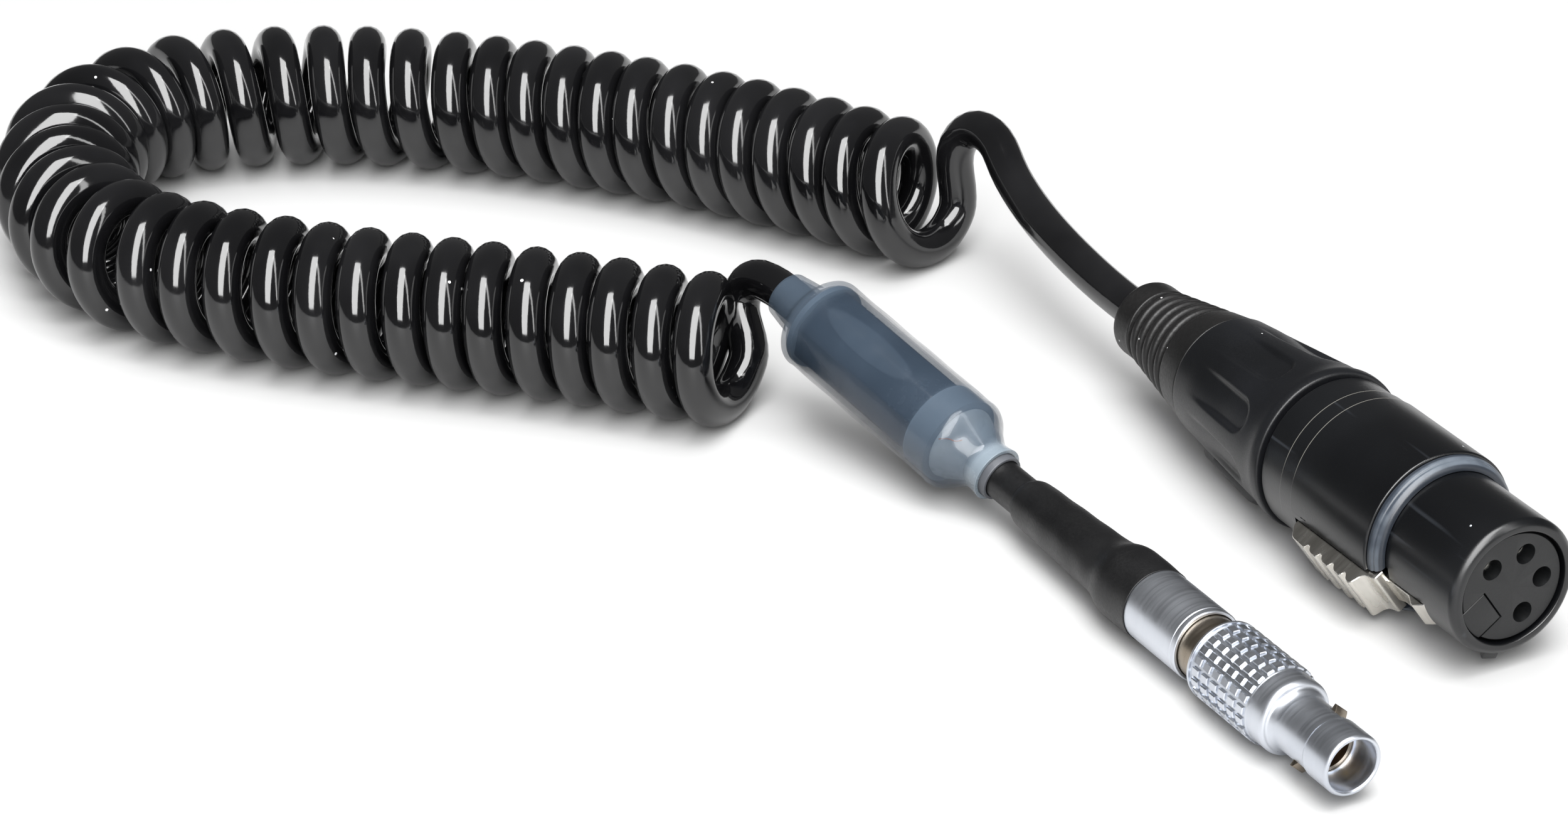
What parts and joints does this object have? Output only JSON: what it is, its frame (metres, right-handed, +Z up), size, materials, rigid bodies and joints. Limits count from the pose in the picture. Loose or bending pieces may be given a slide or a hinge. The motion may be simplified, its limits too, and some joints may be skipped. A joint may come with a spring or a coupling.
{
  "type": "coiled power lead",
  "caption": "Curly black cord with a four-contact round cable socket at one end and an inline module with a small push-pull plug at the other.",
  "frame": {"origin": "on the surface that the lead lies on, under the middle of the box around everything but the cord", "axes": "+X along the cable socket's axis, out of its mouth; +Z up"},
  "size_m": [0.209, 0.1177, 0.0195],
  "materials": {
    "boot_rubber": "matt black flexible boot",
    "bushing_plastic": "fine-grained black plastic",
    "clamp_plastic": "pale natural plastic",
    "cord_jacket": "black cord jacket",
    "housing_metal": "fine-grained black coated die casting",
    "shoulder_ring_plastic": "pale grey plastic ring",
    "insert_plastic": "black moulded insert",
    "contact_silver": "silver-plated contact",
    "wire_insulation": "insulated conductors",
    "latch_nickel": "nickel-plated latch",
    "steel_pin": "steel pin",
    "spring_steel": "spring leaf",
    "frosted_sleeve": "translucent bluish heat-shrink",
    "core_case_plastic": "dark faceted case",
    "cap_plastic": "pale end cap",
    "board_laminate": "circuit board",
    "component_plastic": "components",
    "grey_tubing": "grey inner tubing",
    "lead_jacket": "matt black lead",
    "satin_chrome": "satin chrome-plated brass",
    "nickel": "nickel-plated brass",
    "contact_insert_plastic": "brown moulded insert",
    "gold_contact": "gold-plated pins",
    "shrink_black": "matt black heat-shrink"
  },
  "bodies": {
    "lead": {"boot": "boot_rubber", "bushing": "bushing_plastic", "cable_clamp": "clamp_plastic", "socket_cord_end": "cord_jacket", "housing": "housing_metal", "shoulder_ring": "shoulder_ring_plastic", "insert": "insert_plastic", "key_block": "insert_plastic", "socket_contact_1": "contact_silver", "socket_contact_2": "contact_silver", "socket_contact_3": "contact_silver", "socket_contact_4": "contact_silver", "socket_wires": "wire_insulation", "latch_pin": "steel_pin", "latch_spring": "spring_steel", "module_sleeve": "frosted_sleeve", "core_case": "core_case_plastic", "module_rear_cap": "cap_plastic", "module_front_cap": "cap_plastic", "board": "board_laminate", "board_parts": "component_plastic", "module_cord_end": "cord_jacket", "module_leads": "wire_insulation", "grey_sleeve": "grey_tubing", "lead_cable": "lead_jacket", "latch_sleeve": "nickel", "carrier": "nickel", "contact_insert": "contact_insert_plastic", "plug_pins": "gold_contact", "plug_wires": "wire_insulation", "collet_nut": "satin_chrome", "cable_collet": "nickel", "inner_shrink": "shrink_black", "outer_shrink": "shrink_black", "curly_cord": "cord_jacket", "socket_tail": "cord_jacket", "plug_tail": "cord_jacket"},
    "latch": {"latch": "latch_nickel"},
    "plug_shell": {"plug_shell": "satin_chrome"},
    "latch_finger_1": {"latch_finger_1": "nickel"},
    "latch_finger_2": {"latch_finger_2": "nickel"}
  },
  "joints": [
    {"name": "latch_press", "type": "hinge", "parent": "lead", "child": "latch", "pos_m": [0.0124, 0.00972, 0.00508], "axis": [0, -0.5736, 0.8192], "range_deg": [0, 4], "stiffness_Nm_per_rad": 0.6, "deforming": ["latch_spring"]},
    {"name": "shell_slide", "type": "slide", "parent": "lead", "child": "plug_shell", "axis": [-1, 0, 0], "range_m": [0, 0.0009], "stiffness_N_per_m": 300},
    {"name": "finger_1_flex", "type": "hinge", "parent": "lead", "child": "latch_finger_1", "pos_m": [0.0416, -0.0122, 0.00653], "axis": [0, 0.7431, -0.6691], "range_deg": [0, 4.83]},
    {"name": "finger_2_flex", "type": "hinge", "parent": "lead", "child": "latch_finger_2", "pos_m": [0.0416, -0.0154, 0.00297], "axis": [0, -0.7431, 0.6691], "range_deg": [0, 4.83]}
  ],
  "couplings": [
    {"joint": "finger_1_flex", "follows": "shell_slide", "rad_per_m": 92.599},
    {"joint": "finger_2_flex", "follows": "shell_slide", "rad_per_m": 92.599}
  ]
}
